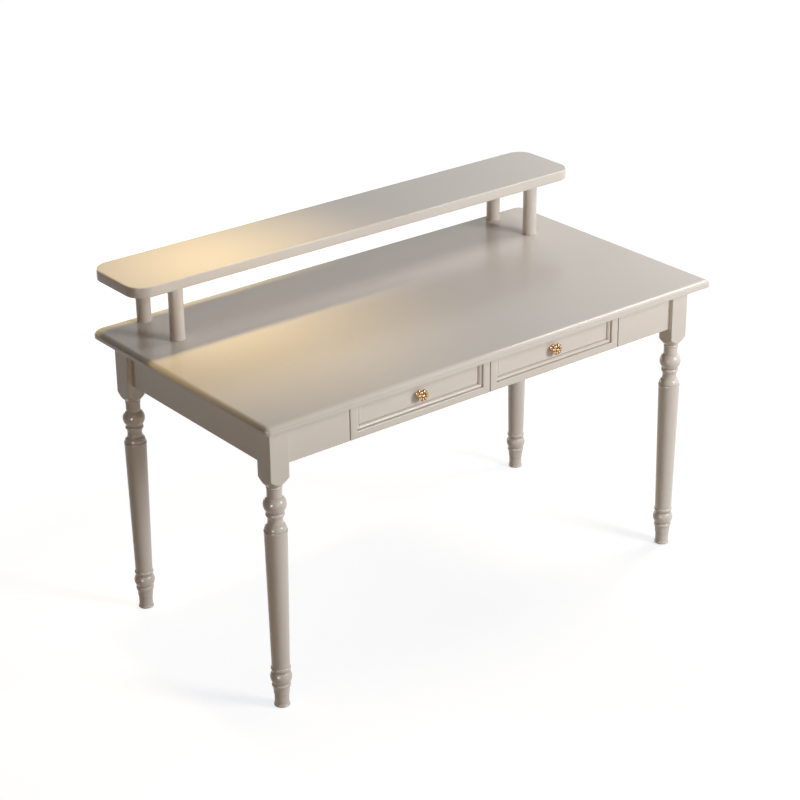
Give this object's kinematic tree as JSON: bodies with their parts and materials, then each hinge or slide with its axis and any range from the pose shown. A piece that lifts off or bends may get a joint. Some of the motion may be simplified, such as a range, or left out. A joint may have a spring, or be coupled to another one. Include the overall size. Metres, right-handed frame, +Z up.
{
  "type": "writing desk with riser shelf",
  "caption": "Painted country writing desk with turned legs, drawers on telescopic slides, moulded top and a low riser shelf along the rear edge.",
  "frame": {"origin": "on the floor, under the middle of the desk top", "axes": "+X to the sitter's right along the desk, +Y from the drawers to the rear edge, +Z up"},
  "size_m": [1.36, 0.724, 0.911],
  "materials": {
    "painted_wood": "semi-gloss warm off-white lacquer",
    "raw_wood": "clear sealed",
    "gilt_knob": "polished gold",
    "slide_steel": "zinc plated",
    "zinc_steel": "zinc plated",
    "glide": "matt"
  },
  "bodies": {
    "desk_frame": {"apron_left": "painted_wood", "apron_rear": "painted_wood", "apron_right": "painted_wood", "brace_screws": "zinc_steel", "bracket_screws": "zinc_steel", "corner_brace_front_left": "raw_wood", "corner_brace_front_right": "raw_wood", "corner_brace_rear_left": "raw_wood", "corner_brace_rear_right": "raw_wood", "desk_top": "painted_wood", "divider_centre": "raw_wood", "divider_left": "raw_wood", "divider_right": "raw_wood", "foot_glides": "glide", "front_panel_left": "painted_wood", "front_panel_right": "painted_wood", "front_stretcher": "raw_wood", "left_drawer_slide_left_outer": "slide_steel", "left_drawer_slide_right_outer": "slide_steel", "leg_bolt_nuts": "zinc_steel", "leg_bolts": "zinc_steel", "leg_front_left": "painted_wood", "leg_front_right": "painted_wood", "leg_rear_left": "painted_wood", "leg_rear_right": "painted_wood", "right_drawer_slide_left_outer": "slide_steel", "right_drawer_slide_right_outer": "slide_steel", "shelf_board": "painted_wood", "shelf_post_bolts": "zinc_steel", "shelf_post_dowels": "raw_wood", "shelf_post_front_left": "painted_wood", "shelf_post_front_right": "painted_wood", "shelf_post_rear_left": "painted_wood", "shelf_post_rear_right": "painted_wood", "slide_screws_frame": "zinc_steel", "top_brackets": "zinc_steel"},
    "left_slide_middles": {"left_drawer_slide_left_middle": "slide_steel", "left_drawer_slide_right_middle": "slide_steel"},
    "right_slide_middles": {"right_drawer_slide_left_middle": "slide_steel", "right_drawer_slide_right_middle": "slide_steel"},
    "left_drawer": {"left_drawer_back": "raw_wood", "left_drawer_bottom": "raw_wood", "left_drawer_front": "painted_wood", "left_drawer_side_left": "raw_wood", "left_drawer_side_right": "raw_wood", "left_drawer_slide_left_inner": "slide_steel", "left_drawer_slide_right_inner": "slide_steel", "left_drawer_slide_screws": "zinc_steel", "left_knob": "gilt_knob", "left_knob_screw": "zinc_steel"},
    "right_drawer": {"right_drawer_back": "raw_wood", "right_drawer_bottom": "raw_wood", "right_drawer_front": "painted_wood", "right_drawer_side_left": "raw_wood", "right_drawer_side_right": "raw_wood", "right_drawer_slide_left_inner": "slide_steel", "right_drawer_slide_right_inner": "slide_steel", "right_drawer_slide_screws": "zinc_steel", "right_knob": "gilt_knob", "right_knob_screw": "zinc_steel"}
  },
  "joints": [
    {"name": "left_drawer_slide", "type": "slide", "parent": "desk_frame", "child": "left_drawer", "axis": [0, -1, 0], "range_m": [0, 0.38]},
    {"name": "right_drawer_slide", "type": "slide", "parent": "desk_frame", "child": "right_drawer", "axis": [0, -1, 0], "range_m": [0, 0.38]},
    {"name": "left_middle_slide", "type": "slide", "parent": "desk_frame", "child": "left_slide_middles", "axis": [0, -1, 0], "range_m": [0, 0.19]},
    {"name": "right_middle_slide", "type": "slide", "parent": "desk_frame", "child": "right_slide_middles", "axis": [0, -1, 0], "range_m": [0, 0.19]}
  ],
  "couplings": [
    {"joint": "left_middle_slide", "follows": "left_drawer_slide", "ratio": 0.5},
    {"joint": "right_middle_slide", "follows": "right_drawer_slide", "ratio": 0.5}
  ]
}
